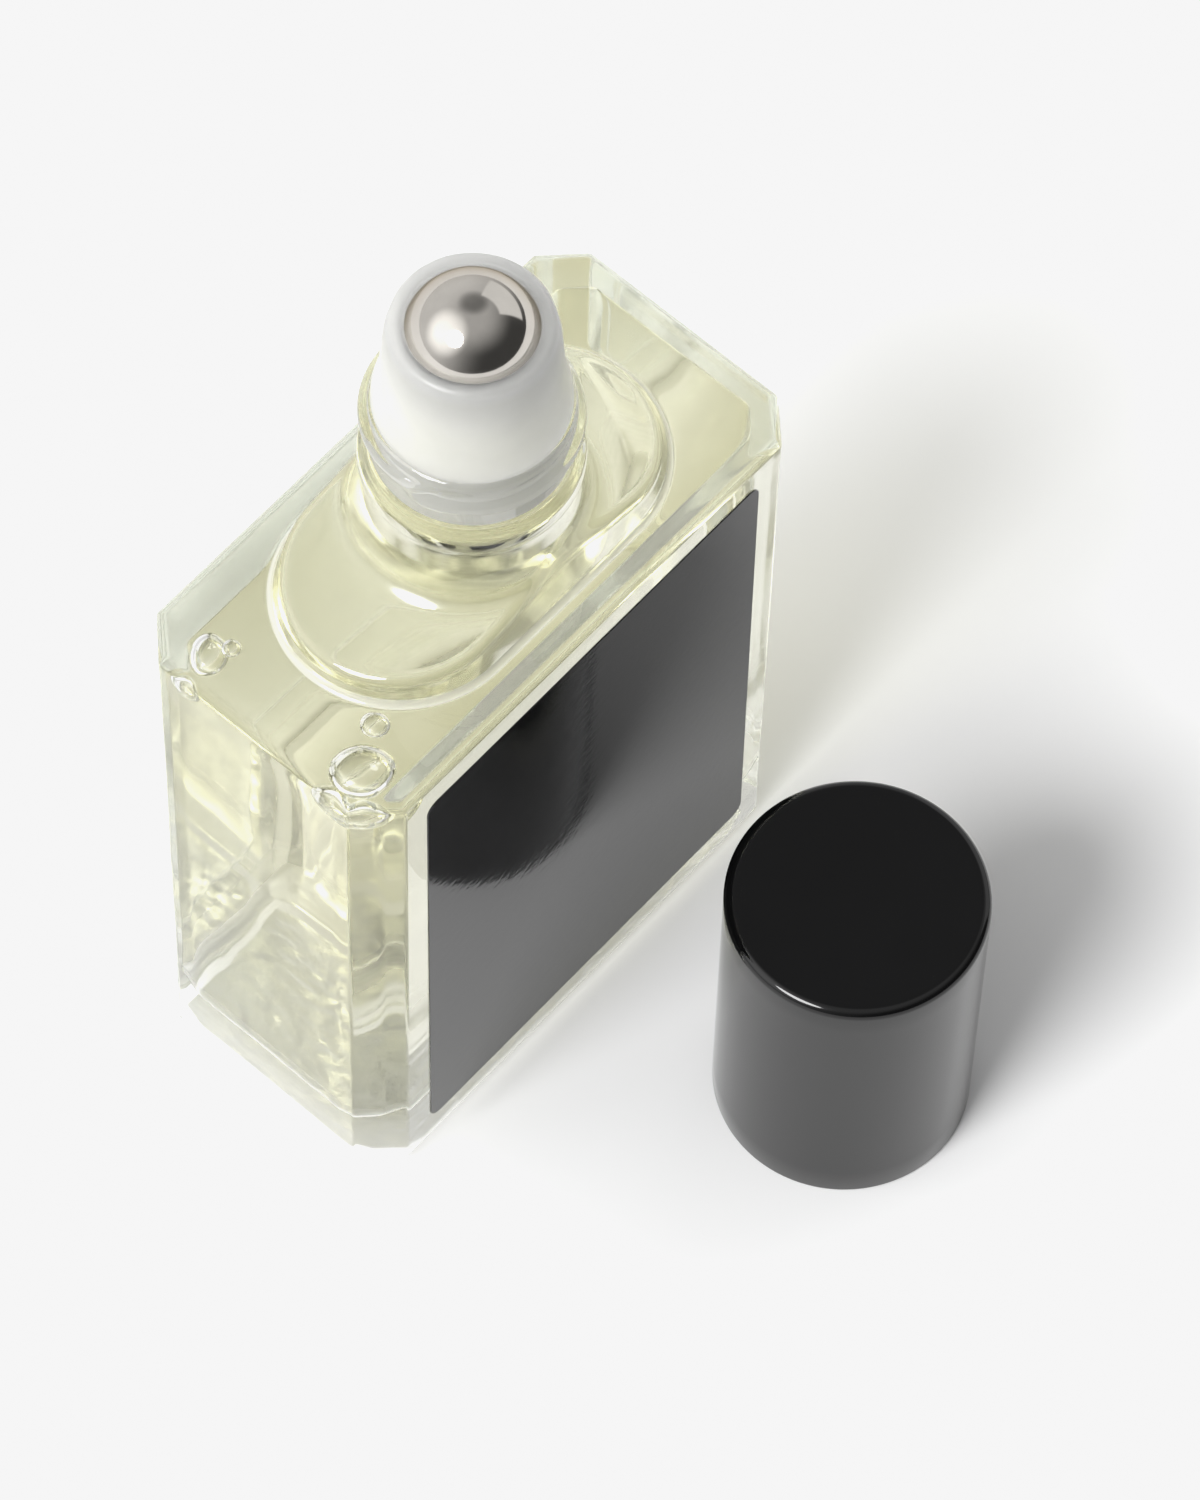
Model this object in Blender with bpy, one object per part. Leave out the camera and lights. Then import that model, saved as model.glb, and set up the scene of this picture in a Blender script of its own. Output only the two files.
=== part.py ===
"""Roll-on perfume oil bottle with its cap taken off.

A thick glass bottle with eight sides holds the oil. Its flat top carries a raised racetrack shoulder that
sweeps up into a round neck. A moulded roller fitment plugs the neck and cages a steel ball, and the cap,
a gloss shell over an inner liner, stands beside the bottle.

Metres, +Z up. The origin is the centre of the bottle's underside, the long side runs along X and the
label faces -Y.
"""

import math

import bmesh
import bpy
from mathutils import Matrix

# Glass body
BODY_LENGTH = 0.0420
BODY_DEPTH = 0.0218
BODY_HEIGHT = 0.0520
CORNER_CUT = 0.0027
EDGE_RADIUS = 0.0005
TOP_RADIUS = 0.0008
HEEL_RADIUS = 0.0012
SIDE_WALL = 0.0024
END_WALL = 0.0012
BASE_THICKNESS = 0.0050
TOP_THICKNESS = 0.0020
CAVITY_CORNER_CUT = 0.0017
CAVITY_TOP_RADIUS = 0.0012
CAVITY_FLOOR_RADIUS = 0.0016

# Racetrack shoulder, raised above the flat top
SHOULDER_LENGTH = 0.0302
SHOULDER_WIDTH = 0.0164
SHOULDER_DRAFT = 0.0003
SHOULDER_FOOT_RADIUS = 0.0005
SHOULDER_CREST_RADIUS = 0.0006
SHOULDER_SLOPE_DEG = 12.0

# Neck
NECK_RADIUS = 0.0071
NECK_FILLET = 0.0032
NECK_TANGENT_RISE = 0.0063
BEAD_RADIUS = 0.0074
BEAD_RISE = 0.0089
BEAD_HEIGHT = 0.0015
FINISH_RADIUS = 0.0067
FINISH_EASE = 0.0004
NECK_HEIGHT = 0.0161
RIM_RADIUS = 0.0006
BORE_RADIUS = 0.0051
BORE_LEAD = 0.0004
BORE_FLARE_HEIGHT = 0.0060
BORE_FLARE_SHARE = 0.8

# Oil
OIL_GAP = 0.0003
OIL_HEADROOM = 0.0009

# Label on the front face
LABEL_WIDTH = 0.0324
LABEL_HEIGHT = 0.0455
LABEL_MARGIN_BELOW = 0.0037
LABEL_CORNER = 0.0010
LABEL_THICKNESS = 0.0001
LABEL_GLUE = 0.00005
LABEL_TILT_DEG = 0.4

# Ball and the roller fitment that cages it
BALL_RADIUS = 0.0045
BALL_RUNNING_GAP = 0.0003
LIP_ABOVE_BALL_CENTRE = 0.0018
LIP_RADIUS = 0.0053
LIP_OUTER_ROUND = 0.0003
LIP_INNER_ROUND = 0.0002
CROWN_RADIUS = 0.00565
CROWN_HEIGHT = 0.0018
FLANGE_RADIUS = 0.0059
FLANGE_THICKNESS = 0.0012
FITMENT_HEIGHT = 0.0088
SEAT_GAP = 0.0003
PLUG_GAP = 0.00025
PLUG_LENGTH = 0.0064
PLUG_WALL = 0.0009
PLUG_LEAD = 0.0003
PLUG_LEAD_HEIGHT = 0.0006
RIB_HEIGHT = 0.00015
RIB_WIDTH = 0.0008
RIB_PITCH = 0.0020
RIB_COUNT = 2
FEED_HOLE_RADIUS = 0.0022
FEED_FLOOR = 0.0017
FEED_SLOT_WIDTH = 0.0010
FEED_SLOT_REACH = 0.0034
FEED_SLOT_COUNT = 2

# Cap
CAP_HEIGHT = 0.0268
CAP_EDGE_RADIUS = 0.00065
CAP_MOUTH_RADIUS = 0.0002
CAP_RUNNING_GAP = 0.00015
CAP_FIT_GAP = 0.0002
SHELL_WALL = 0.0006
SHELL_TOP = 0.0008
LINER_WALL = 0.00065
LINER_TOP = 0.0008
LINER_RECESS = 0.0006
BOSS_RADIUS = 0.0034
BOSS_WALL = 0.0008
CAP_STANDOFF = 0.0013
CAP_X = 0.0069
CAP_Y = -0.0287

# Facets
LONG_SIDE_STEPS = 12
SHORT_SIDE_STEPS = 6
CUT_STEPS = 2
EDGE_STEPS = 2
ROUND_STEPS = 4
FILLET_STEPS = 6
SLOPE_STEPS = 4
CAGE_STEPS = 8
FITMENT_SEGMENTS = 40
CAP_SEGMENTS = 48
BALL_SEGMENTS = 32
BALL_RINGS = 16
LABEL_CORNER_STEPS = 4
SLOT_OVERRUN = 0.0002

OCTAGON_SIDES = 8
QUARTER_TURN = math.pi / 2
EIGHTH_TURN = math.pi / 4

# Heights worked out from the sizes above
CEILING_Z = BODY_HEIGHT - TOP_THICKNESS
NECK_TANGENT_Z = BODY_HEIGHT + NECK_TANGENT_RISE
BEAD_Z = BODY_HEIGHT + BEAD_RISE
RIM_Z = BODY_HEIGHT + NECK_HEIGHT
FLANGE_Z = RIM_Z + SEAT_GAP
LIP_Z = FLANGE_Z + FITMENT_HEIGHT
BALL_Z = LIP_Z - LIP_ABOVE_BALL_CENTRE
CAGE_RADIUS = BALL_RADIUS + BALL_RUNNING_GAP
PLUG_BOTTOM_Z = FLANGE_Z - PLUG_LENGTH
OIL_LEVEL_Z = PLUG_BOTTOM_Z - OIL_HEADROOM


def clear_scene():
    """Removes every object, so that the model starts from nothing."""
    for old in list(bpy.data.objects):
        bpy.data.objects.remove(old, do_unlink=True)


def make_material(name, color, roughness, metallic=0.0, transmission=0.0):
    """A Principled surface in the piece's own colour."""
    material = bpy.data.materials.new(name)
    material.use_nodes = True
    surface = material.node_tree.nodes["Principled BSDF"]
    surface.inputs["Base Color"].default_value = (*color, 1.0)
    surface.inputs["Roughness"].default_value = roughness
    surface.inputs["Metallic"].default_value = metallic
    surface.inputs["Transmission Weight"].default_value = transmission
    return material


def add_object(name, bm, material, smooth_deg=30.0):
    """Turns a bmesh into a named object with one material and smooth round faces."""
    bmesh.ops.recalc_face_normals(bm, faces=bm.faces)
    mesh = bpy.data.meshes.new(name)
    bm.to_mesh(mesh)
    bm.free()
    mesh.shade_smooth()
    mesh.set_sharp_from_angle(angle=math.radians(smooth_deg))
    mesh.materials.append(material)
    piece = bpy.data.objects.new(name, mesh)
    bpy.context.collection.objects.link(piece)
    return piece


def add_loft(bm, rings, closed=False):
    """Skins rings of equally many points. An open stack gets a flat face at each end."""
    loops = [[bm.verts.new(point) for point in ring] for ring in rings]
    pairs = list(zip(loops, loops[1:]))
    if closed:
        pairs.append((loops[-1], loops[0]))
    else:
        bm.faces.new(list(reversed(loops[0])))
        bm.faces.new(loops[-1])
    count = len(rings[0])
    for low, high in pairs:
        for index in range(count):
            after = (index + 1) % count
            bm.faces.new((low[index], low[after], high[after], high[index]))


def add_turned(bm, profile, segments, closed):
    """Turns (radius, height) points about Z. A profile that ends on the axis closes there by itself."""
    rings = []
    for radius, height in profile:
        ring = []
        for index in range(segments):
            angle = 2 * math.pi * index / segments
            ring.append((radius * math.cos(angle), radius * math.sin(angle), height))
        rings.append(ring)
    add_loft(bm, rings, closed)


def arc(centre_r, centre_z, radius, start_deg, end_deg, steps):
    """Profile points on an arc, both ends included. Zero degrees points outward and 90 up."""
    points = []
    for index in range(steps + 1):
        angle = math.radians(start_deg + (end_deg - start_deg) * index / steps)
        points.append((centre_r + radius * math.cos(angle), centre_z + radius * math.sin(angle)))
    return points


def corner_arcs(half_x, half_y, cut):
    """Small arcs that round an octagon's corners, from the +X side round to the left."""
    x = half_x - EDGE_RADIUS
    y = half_y - EDGE_RADIUS
    centre_cut = cut - EDGE_RADIUS * (2 - math.sqrt(2))
    centres = [
        (x, -y + centre_cut),
        (x, y - centre_cut),
        (x - centre_cut, y),
        (-x + centre_cut, y),
        (-x, y - centre_cut),
        (-x, -y + centre_cut),
        (-x + centre_cut, -y),
        (x - centre_cut, -y),
    ]
    arcs = []
    for index, (centre_x, centre_y) in enumerate(centres):
        points = []
        for step in range(EDGE_STEPS + 1):
            angle = EIGHTH_TURN * (index - 1 + step / EDGE_STEPS)
            points.append((centre_x + EDGE_RADIUS * math.cos(angle), centre_y + EDGE_RADIUS * math.sin(angle)))
        arcs.append(points)
    return arcs


def cross(a, b):
    return a[0] * b[1] - a[1] * b[0]


def side_points(start, end, steps):
    """Points along a side where rays from the centre, an even angle apart, cross it."""
    first = math.atan2(start[1], start[0])
    turn = (math.atan2(end[1], end[0]) - first) % (2 * math.pi)
    points = []
    for index in range(1, steps):
        ray = (math.cos(first + turn * index / steps), math.sin(first + turn * index / steps))
        back = (start[0] - end[0], start[1] - end[1])
        share = cross(start, ray) / cross(back, ray)
        points.append((start[0] - back[0] * share, start[1] - back[1] * share))
    return points


def octagon_outline(half_x, half_y, cut):
    """An eight-sided plan with rounded corners. Points with the same number line up on all such plans."""
    arcs = corner_arcs(half_x, half_y, cut)
    side_steps = [SHORT_SIDE_STEPS, CUT_STEPS, LONG_SIDE_STEPS, CUT_STEPS] * 2
    outline = []
    for points, after, steps in zip(arcs, arcs[1:] + arcs[:1], side_steps):
        outline.extend(points)
        outline.extend(side_points(points[-1], after[0], steps))
    return outline


def inset_cut(cut, inset):
    """Length of a corner cut after all the sides have moved in by inset."""
    return cut - inset * (2 - math.sqrt(2))


def body_outline(inset):
    return octagon_outline(BODY_LENGTH / 2 - inset, BODY_DEPTH / 2 - inset, inset_cut(CORNER_CUT, inset))


def cavity_outline(inset):
    half_x = BODY_LENGTH / 2 - END_WALL - inset
    half_y = BODY_DEPTH / 2 - SIDE_WALL - inset
    return octagon_outline(half_x, half_y, inset_cut(CAVITY_CORNER_CUT, inset))


def racetrack_point(angle, half_length, half_width):
    """Where a ray from the centre crosses a racetrack outline. Equal halves give a circle."""
    offset = half_length - half_width
    across = abs(math.sin(angle))
    along = abs(math.cos(angle))
    if across > 0 and half_width * along / across < offset:
        reach = half_width / across
    else:
        reach = offset * along + math.sqrt(half_width ** 2 - (offset * across) ** 2)
    return (reach * math.cos(angle), reach * math.sin(angle))


def ring_angles():
    return [math.atan2(y, x) for x, y in body_outline(0.0)]


def flat_ring(outline, height):
    return [(x, y, height) for x, y in outline]


def body_ring(inset, height):
    return flat_ring(body_outline(inset), height)


def cavity_ring(inset, height):
    return flat_ring(cavity_outline(inset), height)


def racetrack_ring(half_length, half_width, height):
    outline = [racetrack_point(angle, half_length, half_width) for angle in ring_angles()]
    return flat_ring(outline, height)


def round_ring(radius, height):
    return racetrack_ring(radius, radius, height)


def shoulder_surface(radius):
    """Height of the shoulder at a distance from the neck's axis: a fillet round the neck, then a slope."""
    slope = math.radians(SHOULDER_SLOPE_DEG)
    fillet_centre = NECK_RADIUS + NECK_FILLET
    fillet_end = fillet_centre - NECK_FILLET * math.sin(slope)
    if radius <= fillet_end:
        return NECK_TANGENT_Z - math.sqrt(NECK_FILLET ** 2 - (fillet_centre - radius) ** 2)
    fillet_end_z = NECK_TANGENT_Z - NECK_FILLET * math.cos(slope)
    return fillet_end_z - (radius - fillet_end) * math.tan(slope)


def draped_ring(outline, drop):
    """An outline laid on the shoulder's surface, lowered by drop."""
    return [(x, y, shoulder_surface(math.hypot(x, y)) - drop) for x, y in outline]


def shoulder_rings():
    """From the shoulder's foot on the flat top, over its crest and up the sweep to the neck."""
    half_length = SHOULDER_LENGTH / 2
    half_width = SHOULDER_WIDTH / 2
    foot = SHOULDER_FOOT_RADIUS
    crest = SHOULDER_CREST_RADIUS
    top_length = half_length - SHOULDER_DRAFT
    top_width = half_width - SHOULDER_DRAFT
    angles = ring_angles()

    def outline(inset):
        return [racetrack_point(angle, top_length - inset, top_width - inset) for angle in angles]

    rings = [
        racetrack_ring(half_length + foot, half_width + foot, BODY_HEIGHT),
        racetrack_ring(half_length + foot * (1 - math.sin(EIGHTH_TURN)),
                       half_width + foot * (1 - math.sin(EIGHTH_TURN)),
                       BODY_HEIGHT + foot * (1 - math.cos(EIGHTH_TURN))),
        racetrack_ring(half_length, half_width, BODY_HEIGHT + foot),
        draped_ring(outline(0.0), crest),
        draped_ring(outline(crest * (1 - math.sin(EIGHTH_TURN))), crest * (1 - math.cos(EIGHTH_TURN))),
    ]
    crest_outline = outline(crest)
    neck_outline = [racetrack_point(angle, NECK_RADIUS, NECK_RADIUS) for angle in angles]
    steps = SLOPE_STEPS + FILLET_STEPS
    for index in range(steps):
        share = math.sin(QUARTER_TURN * index / steps)
        rings.append(draped_ring([
            (a[0] + (b[0] - a[0]) * share, a[1] + (b[1] - a[1]) * share)
            for a, b in zip(crest_outline, neck_outline)
        ], 0.0))
    rings.append(round_ring(NECK_RADIUS, NECK_TANGENT_Z))
    return rings


def neck_profile():
    """Outside of the neck from the sweep to the rim: bead, plain finish and rounded rim."""
    bead_round = BEAD_RADIUS - NECK_RADIUS
    bead_top = BEAD_Z + BEAD_HEIGHT
    rim_centre = FINISH_RADIUS - RIM_RADIUS
    profile = [(NECK_RADIUS, BEAD_Z - bead_round)]
    profile += arc(NECK_RADIUS, BEAD_Z + bead_round, bead_round, -60, 0, 2)
    profile += [
        (BEAD_RADIUS, bead_top - bead_round),
        (NECK_RADIUS, bead_top),
        (FINISH_RADIUS, bead_top + FINISH_EASE),
    ]
    profile += arc(rim_centre, RIM_Z - RIM_RADIUS, RIM_RADIUS, 0, 90, ROUND_STEPS)
    return profile


def bore_profile():
    """Inside of the neck from the rim down to where it flares into the body."""
    return [
        (BORE_RADIUS + BORE_LEAD, RIM_Z),
        (BORE_RADIUS, RIM_Z - BORE_LEAD),
        (BORE_RADIUS, OIL_LEVEL_Z),
        (BORE_RADIUS, CEILING_Z + BORE_FLARE_HEIGHT),
    ]


def cavity_rings(gap):
    """Inside of the body from the foot of the bore to the floor, moved in by gap."""
    top = CAVITY_TOP_RADIUS
    floor = CAVITY_FLOOR_RADIUS
    floor_z = BASE_THICKNESS + gap
    ceiling = CEILING_Z - gap
    flare = (BODY_DEPTH / 2 - SIDE_WALL - top - BORE_RADIUS) * BORE_FLARE_SHARE
    rings = []
    for step in range(1, ROUND_STEPS + 1):
        angle = QUARTER_TURN * step / ROUND_STEPS
        radius = BORE_RADIUS - gap + flare * (1 - math.cos(angle))
        rings.append(round_ring(radius, ceiling + BORE_FLARE_HEIGHT * (1 - math.sin(angle))))
    for step in range(ROUND_STEPS + 1):
        angle = QUARTER_TURN * step / ROUND_STEPS
        rings.append(cavity_ring(gap + top * (1 - math.sin(angle)), ceiling - top * (1 - math.cos(angle))))
    for step in range(ROUND_STEPS + 1):
        angle = QUARTER_TURN * step / ROUND_STEPS
        rings.append(cavity_ring(gap + floor * (1 - math.cos(angle)), floor_z + floor * (1 - math.sin(angle))))
    return rings


def make_glass_bottle():
    """One skin: up the outside from the base, over the rim and down the inside to the cavity's floor."""
    heel = HEEL_RADIUS
    rings = []
    for step in range(ROUND_STEPS + 1):
        angle = QUARTER_TURN * step / ROUND_STEPS
        rings.append(body_ring(heel * (1 - math.sin(angle)), heel * (1 - math.cos(angle))))
    for step in range(ROUND_STEPS + 1):
        angle = QUARTER_TURN * step / ROUND_STEPS
        inset = TOP_RADIUS * (1 - math.cos(angle))
        rings.append(body_ring(inset, BODY_HEIGHT - TOP_RADIUS * (1 - math.sin(angle))))
    rings += shoulder_rings()
    rings += [round_ring(radius, height) for radius, height in neck_profile()]
    rings += [round_ring(radius, height) for radius, height in bore_profile()]
    rings += cavity_rings(0.0)
    bm = bmesh.new()
    add_loft(bm, rings)
    glass = make_material("clear_glass", (0.93, 0.96, 0.93), 0.02, transmission=1.0)
    return add_object("glass_bottle", bm, glass)


def make_perfume_oil():
    """The oil fills the cavity and stands in the neck up to just under the fitment's plug."""
    rings = [
        round_ring(BORE_RADIUS - OIL_GAP, OIL_LEVEL_Z),
        round_ring(BORE_RADIUS - OIL_GAP, CEILING_Z - OIL_GAP + BORE_FLARE_HEIGHT),
    ]
    rings += cavity_rings(OIL_GAP)
    bm = bmesh.new()
    add_loft(bm, rings)
    oil = make_material("perfume_oil", (0.86, 0.84, 0.55), 0.05, transmission=0.9)
    return add_object("perfume_oil", bm, oil)


def make_front_label():
    """A thin gloss label with rounded corners, stuck on very slightly crooked."""
    half_width = LABEL_WIDTH / 2
    half_height = LABEL_HEIGHT / 2
    outline = []
    for corner, (side, up) in enumerate(((1, 1), (-1, 1), (-1, -1), (1, -1))):
        centre_x = side * (half_width - LABEL_CORNER)
        centre_z = up * (half_height - LABEL_CORNER)
        for step in range(LABEL_CORNER_STEPS + 1):
            angle = QUARTER_TURN * (corner + step / LABEL_CORNER_STEPS)
            outline.append((
                centre_x + LABEL_CORNER * math.cos(angle),
                centre_z + LABEL_CORNER * math.sin(angle),
            ))
    bm = bmesh.new()
    add_loft(bm, [[(x, y, z) for x, z in outline] for y in (0.0, -LABEL_THICKNESS)])
    black = make_material("gloss_black_label", (0.012, 0.012, 0.013), 0.12)
    label = add_object("front_label", bm, black)
    label.location = (0.0, -BODY_DEPTH / 2 - LABEL_GLUE, LABEL_MARGIN_BELOW + half_height)
    label.rotation_euler = (0.0, -math.radians(LABEL_TILT_DEG), 0.0)
    return label


def cage_depth(radius):
    """How far below the ball's centre the cage's round seat lies, at a distance from its axis."""
    return math.sqrt(CAGE_RADIUS ** 2 - radius ** 2)


def fitment_profile():
    """Section of the roller fitment: up its outside, over the lip, down the cage and the plug's inside."""
    plug_radius = BORE_RADIUS - PLUG_GAP
    plug_inner = plug_radius - PLUG_WALL
    plug_ceiling = BALL_Z - cage_depth(FEED_HOLE_RADIUS) - FEED_FLOOR
    profile = [
        (plug_inner, PLUG_BOTTOM_Z),
        (plug_radius - PLUG_LEAD, PLUG_BOTTOM_Z),
        (plug_radius, PLUG_BOTTOM_Z + PLUG_LEAD_HEIGHT),
    ]
    for rib in range(RIB_COUNT):
        low = PLUG_BOTTOM_Z + RIB_PITCH * (rib + 1)
        profile += [
            (plug_radius, low),
            (plug_radius + RIB_HEIGHT, low + RIB_WIDTH / 2),
            (plug_radius, low + RIB_WIDTH),
        ]
    profile += [
        (plug_radius, FLANGE_Z),
        (FLANGE_RADIUS, FLANGE_Z),
        (FLANGE_RADIUS, FLANGE_Z + FLANGE_THICKNESS),
        (CROWN_RADIUS, LIP_Z - CROWN_HEIGHT),
    ]
    profile += arc(LIP_RADIUS - LIP_OUTER_ROUND, LIP_Z - LIP_OUTER_ROUND, LIP_OUTER_ROUND, 15, 90, ROUND_STEPS)
    inner_z = LIP_ABOVE_BALL_CENTRE - LIP_INNER_ROUND
    inner_radius = cage_depth(LIP_ABOVE_BALL_CENTRE)
    profile += arc(inner_radius + LIP_INNER_ROUND, LIP_Z - LIP_INNER_ROUND, LIP_INNER_ROUND, 90, 180, 2)
    start = math.degrees(math.asin(inner_z / CAGE_RADIUS))
    end = -math.degrees(math.acos(FEED_HOLE_RADIUS / CAGE_RADIUS))
    profile += arc(0.0, BALL_Z, CAGE_RADIUS, start, end, CAGE_STEPS)[1:]
    profile += [
        (FEED_HOLE_RADIUS, plug_ceiling),
        (plug_inner, plug_ceiling),
    ]
    return profile


def add_cutter(name, size, location, turn):
    """A box that only cuts. It isn't part of the model."""
    bm = bmesh.new()
    bmesh.ops.create_cube(bm, size=1.0)
    bmesh.ops.scale(bm, verts=bm.verts, vec=size)
    mesh = bpy.data.meshes.new(name)
    bm.to_mesh(mesh)
    bm.free()
    cutter = bpy.data.objects.new(name, mesh)
    bpy.context.collection.objects.link(cutter)
    cutter.location = location
    cutter.rotation_euler = (0.0, 0.0, turn)
    cutter.hide_render = True
    cutter.display_type = "WIRE"
    return cutter


def make_roller_housing():
    """The moulded fitment: sealing plug, flange on the rim, and the cage whose lip keeps the ball in."""
    bm = bmesh.new()
    add_turned(bm, fitment_profile(), FITMENT_SEGMENTS, closed=True)
    milky = make_material("milky_plastic", (0.86, 0.87, 0.85), 0.35)
    housing = add_object("roller_housing", bm, milky)
    floor_top = BALL_Z - cage_depth(FEED_SLOT_REACH)
    floor_bottom = BALL_Z - cage_depth(FEED_HOLE_RADIUS) - FEED_FLOOR
    height = floor_top - floor_bottom + SLOT_OVERRUN * 2
    for index in range(FEED_SLOT_COUNT):
        cutter = add_cutter(
            f"feed_slot_cutter_{index + 1}",
            (FEED_SLOT_REACH * 2, FEED_SLOT_WIDTH, height),
            (0.0, 0.0, (floor_top + floor_bottom) / 2),
            EIGHTH_TURN + math.pi * index / FEED_SLOT_COUNT,
        )
        cut = housing.modifiers.new(cutter.name, "BOOLEAN")
        cut.operation = "DIFFERENCE"
        cut.solver = "EXACT"
        cut.object = cutter
    return housing


def make_roller_ball():
    """The steel ball. Its origin is its centre, on the axis that it rolls about."""
    bm = bmesh.new()
    bmesh.ops.create_uvsphere(bm, u_segments=BALL_SEGMENTS, v_segments=BALL_RINGS, radius=BALL_RADIUS)
    bmesh.ops.rotate(bm, verts=bm.verts, matrix=Matrix.Rotation(QUARTER_TURN, 3, "Y"))
    steel = make_material("polished_steel", (0.72, 0.71, 0.69), 0.06, metallic=1.0)
    ball = add_object("roller_ball", bm, steel)
    ball.location = (0.0, 0.0, BALL_Z)
    return ball


def liner_bore():
    return BEAD_RADIUS + CAP_RUNNING_GAP


def shell_bore():
    return liner_bore() + LINER_WALL + CAP_FIT_GAP


def make_cap_shell(frame):
    """The gloss outer shell: a plain cup with a rounded top edge."""
    bore = shell_bore()
    outer = bore + SHELL_WALL
    edge = CAP_EDGE_RADIUS
    mouth = CAP_MOUTH_RADIUS
    ceiling = CAP_HEIGHT - SHELL_TOP
    profile = arc(bore + mouth, mouth, mouth, 180, 270, 2)
    profile += arc(outer - mouth, mouth, mouth, 270, 360, 2)
    profile += arc(outer - edge, CAP_HEIGHT - edge, edge, 0, 90, ROUND_STEPS)
    bm = bmesh.new()
    add_turned(bm, [(bore, ceiling)] + profile, CAP_SEGMENTS, closed=False)
    gloss = make_material("gloss_black_plastic", (0.008, 0.008, 0.008), 0.08)
    shell = add_object("cap_shell", bm, gloss)
    shell.parent = frame
    return shell


def make_cap_liner(frame):
    """The inner liner: a sleeve that runs on the neck, and a ring that bears on the ball when closed."""
    bore = liner_bore()
    outer = bore + LINER_WALL
    top = CAP_HEIGHT - SHELL_TOP - CAP_FIT_GAP
    ceiling = top - LINER_TOP
    boss_inner = BOSS_RADIUS - BOSS_WALL
    cap_seat_z = shoulder_surface(shell_bore()) + CAP_STANDOFF
    boss_contact_z = BALL_Z + math.sqrt(BALL_RADIUS ** 2 - boss_inner ** 2)
    boss_end = boss_contact_z + CAP_RUNNING_GAP - cap_seat_z
    profile = [
        (boss_inner, ceiling),
        (boss_inner, boss_end),
        (BOSS_RADIUS, boss_end),
        (BOSS_RADIUS, ceiling),
        (bore, ceiling),
        (bore, LINER_RECESS),
        (outer, LINER_RECESS),
        (outer, top),
    ]
    bm = bmesh.new()
    add_turned(bm, profile, CAP_SEGMENTS, closed=False)
    natural = make_material("liner_plastic", (0.05, 0.05, 0.05), 0.4)
    liner = add_object("cap_liner", bm, natural)
    liner.parent = frame
    return liner


def make_cap_frame():
    """An empty on the cap's axis, where it stands beside the bottle."""
    frame = bpy.data.objects.new("cap_frame", None)
    bpy.context.collection.objects.link(frame)
    frame.location = (CAP_X, CAP_Y, 0.0)
    return frame


def main():
    clear_scene()
    make_glass_bottle()
    make_perfume_oil()
    make_front_label()
    make_roller_housing()
    make_roller_ball()
    cap_frame = make_cap_frame()
    make_cap_shell(cap_frame)
    make_cap_liner(cap_frame)
    bpy.context.view_layer.update()


main()
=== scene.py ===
"""Looks of the roll-on perfume oil bottle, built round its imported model.

Metres, +Z up, in the model's own frame: the label is on the -Y side and the cap stands in front of it.
"""

import math

import bpy
import numpy as np
from mathutils import Matrix, Vector, noise


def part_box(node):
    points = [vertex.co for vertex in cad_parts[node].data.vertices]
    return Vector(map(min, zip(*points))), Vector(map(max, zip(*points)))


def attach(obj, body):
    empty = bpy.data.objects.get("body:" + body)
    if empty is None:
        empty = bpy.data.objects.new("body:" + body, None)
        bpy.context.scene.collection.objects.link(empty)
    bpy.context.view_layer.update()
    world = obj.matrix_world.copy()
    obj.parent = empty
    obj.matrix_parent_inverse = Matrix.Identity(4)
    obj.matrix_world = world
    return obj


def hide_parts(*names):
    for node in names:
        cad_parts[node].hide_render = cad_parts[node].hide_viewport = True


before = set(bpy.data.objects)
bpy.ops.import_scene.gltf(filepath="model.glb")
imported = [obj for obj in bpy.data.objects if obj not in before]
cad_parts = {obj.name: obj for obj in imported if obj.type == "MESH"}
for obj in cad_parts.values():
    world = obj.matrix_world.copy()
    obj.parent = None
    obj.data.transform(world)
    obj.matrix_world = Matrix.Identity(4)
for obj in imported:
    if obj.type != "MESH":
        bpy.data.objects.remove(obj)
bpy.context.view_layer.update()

MM = 0.001
QUARTER = math.pi / 2
EIGHTH = math.pi / 4
FULL_TURN = 2 * math.pi
TINY = 1e-9

# Glass body, as the model has it
BODY_LOW, BODY_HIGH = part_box("glass_bottle")
BODY_LENGTH = BODY_HIGH.x - BODY_LOW.x
BODY_DEPTH = BODY_HIGH.y - BODY_LOW.y
RIM_Z = BODY_HIGH.z
BODY_HEIGHT = 0.0520
CORNER_CUT = 0.0027
EDGE_RADIUS = 0.0005
TOP_RADIUS = 0.0008
HEEL_RADIUS = 0.0012
PUSH_UP = 0.00035
PUSH_UP_FLAT_SHARE = 0.5
PUSH_UP_SLOPE_SHARE = 0.38

# Cavity
SIDE_WALL = 0.0024
END_WALL = 0.0012
BASE_THICKNESS = 0.0050
TOP_THICKNESS = 0.0020
CAVITY_CORNER_CUT = 0.0017
CAVITY_EDGE_RADIUS = 0.0009
CAVITY_TOP_RADIUS = 0.0012
CAVITY_FLOOR_RADIUS = 0.0016
FLOOR_DISH = 0.0003
CEILING_Z = BODY_HEIGHT - TOP_THICKNESS

# Raised shoulder
SHOULDER_LENGTH = 0.0302
SHOULDER_WIDTH = 0.0164
SHOULDER_DRAFT = 0.0003
SHOULDER_FOOT_RADIUS = 0.0006
SHOULDER_CREST_RADIUS = 0.0007
SHOULDER_SLOPE = math.radians(17)

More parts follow.
